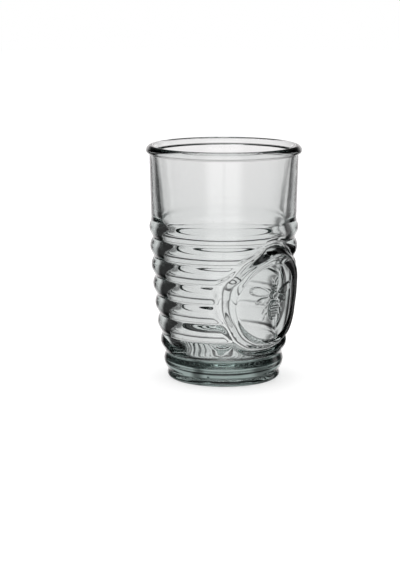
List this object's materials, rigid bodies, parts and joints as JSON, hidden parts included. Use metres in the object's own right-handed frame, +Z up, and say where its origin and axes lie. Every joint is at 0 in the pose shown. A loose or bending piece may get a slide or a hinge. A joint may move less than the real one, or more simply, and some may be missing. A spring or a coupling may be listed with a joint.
{
  "type": "drinking glass",
  "caption": "Pressed tumbler of thick clear glass with a rolled rim bead, a smooth collar, a ringed wall and a raised wax-seal medallion with a bee in relief.",
  "frame": {"origin": "centre of the face that the glass stands on", "axes": "+Z up along the glass's axis, -Y towards the middle of the medallion, +X to the right when looking at the medallion"},
  "size_m": [0.084, 0.084, 0.127],
  "materials": {
    "clear_glass": "clear recycled glass with a faint grey-green tint, fire-polished surface, slight waviness and a few small seeds"
  },
  "bodies": {
    "root": {"foot": "clear_glass", "base": "clear_glass", "ring_wall": "clear_glass", "collar": "clear_glass", "rim_bead": "clear_glass", "medallion": "clear_glass", "bee": "clear_glass"}
  },
  "joints": []
}
